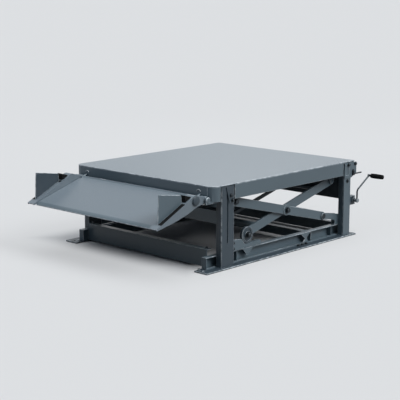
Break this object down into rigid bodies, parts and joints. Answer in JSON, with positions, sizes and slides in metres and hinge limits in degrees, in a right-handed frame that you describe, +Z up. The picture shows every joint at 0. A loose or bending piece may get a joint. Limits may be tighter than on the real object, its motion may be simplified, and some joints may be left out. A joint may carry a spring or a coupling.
{
  "type": "dock leveler",
  "caption": "Dock leveler with a steel deck carried on scissor arms over a base frame with corner posts, a hinged front lip with side cheeks and a hand crank.",
  "frame": {"origin": "on the floor, in the middle of the four anchor holes of the sole plates", "axes": "+X to the right across the deck, seen from the lip, +Y from the lip towards the rear, +Z up"},
  "size_m": [2.036, 2.8931, 0.745],
  "materials": {
    "slate_paint": "satin",
    "deck_paint": "satin",
    "dark_paint": "satin",
    "bare_steel": "satin",
    "black_rubber": "matte"
  },
  "bodies": {
    "base": {"right_sole_plate": "slate_paint", "left_sole_plate": "slate_paint", "right_base_rail": "slate_paint", "left_base_rail": "slate_paint", "front_cross_beam": "dark_paint", "middle_cross_beam": "slate_paint", "rear_cross_beam": "slate_paint", "right_front_post": "slate_paint", "left_front_post": "slate_paint", "right_rear_post": "slate_paint", "left_rear_post": "slate_paint", "front_portal_beam": "dark_paint", "rear_portal_beam": "dark_paint", "front_guide_plates": "slate_paint", "rear_latch_plates": "slate_paint", "latch_levers": "dark_paint", "wheel_tracks": "slate_paint", "arm_base_brackets": "slate_paint", "lower_arm_pins": "bare_steel", "crank_gearbox": "dark_paint"},
    "outer_arms": {"right_outer_arm": "slate_paint", "left_outer_arm": "slate_paint", "outer_cross_tube": "slate_paint"},
    "inner_arms": {"right_inner_arm": "slate_paint", "left_inner_arm": "slate_paint", "inner_cross_tube": "slate_paint", "inner_stays": "dark_paint"},
    "deck": {"deck_plate": "deck_paint", "front_skirt": "slate_paint", "right_side_skirt": "slate_paint", "left_side_skirt": "slate_paint", "rear_skirt": "slate_paint", "right_stringer": "slate_paint", "left_stringer": "slate_paint", "deck_cross_ribs": "slate_paint", "arm_deck_brackets": "slate_paint", "upper_arm_pins": "bare_steel", "lip_hinge_pin": "bare_steel"},
    "lip": {"lip_plate": "deck_paint", "right_lip_arm": "slate_paint", "left_lip_arm": "slate_paint", "right_cheek": "slate_paint", "left_cheek": "slate_paint", "lip_buffers": "black_rubber"},
    "right_wheel": {"right_wheel": "dark_paint"},
    "left_wheel": {"left_wheel": "dark_paint"},
    "right_roller": {"right_roller": "bare_steel"},
    "left_roller": {"left_roller": "bare_steel"},
    "crank": {"crank_handle": "bare_steel", "crank_grip": "black_rubber"}
  },
  "joints": [
    {"name": "lift", "type": "hinge", "parent": "base", "child": "outer_arms", "pos_m": [0, 0.67, 0.2353], "axis": [-1, 0, 0], "range_deg": [0, 16]},
    {"name": "arm_cross", "type": "hinge", "parent": "outer_arms", "child": "inner_arms", "pos_m": [0, 0.11266, 0.37671], "axis": [1, 0, 0], "range_deg": [0, 32]},
    {"name": "deck_pivot", "type": "hinge", "parent": "inner_arms", "child": "deck", "pos_m": [0, 0.82993, 0.5587], "axis": [-1, 0, 0], "range_deg": [0, 16]},
    {"name": "lip_hinge", "type": "hinge", "parent": "deck", "child": "lip", "pos_m": [0, -1.008, 0.632], "axis": [-1, 0, 0], "range_deg": [-52, 17.7]},
    {"name": "right_wheel_turn", "type": "hinge", "parent": "inner_arms", "child": "right_wheel", "pos_m": [0.816, -0.44468, 0.2353], "axis": [1, 0, 0], "continuous": true},
    {"name": "left_wheel_turn", "type": "hinge", "parent": "inner_arms", "child": "left_wheel", "pos_m": [-0.816, -0.44468, 0.2353], "axis": [1, 0, 0], "continuous": true},
    {"name": "right_roller_turn", "type": "hinge", "parent": "outer_arms", "child": "right_roller", "pos_m": [0.789, -0.60461, 0.5587], "axis": [1, 0, 0], "continuous": true},
    {"name": "left_roller_turn", "type": "hinge", "parent": "outer_arms", "child": "left_roller", "pos_m": [-0.789, -0.60461, 0.5587], "axis": [1, 0, 0], "continuous": true},
    {"name": "crank_turn", "type": "hinge", "parent": "base", "child": "crank", "pos_m": [0.937, 1.0746, 0.345], "axis": [1, 0, 0], "continuous": true}
  ],
  "couplings": [
    {"joint": "arm_cross", "follows": "lift", "ratio": 2},
    {"joint": "deck_pivot", "follows": "lift", "ratio": 1}
  ]
}
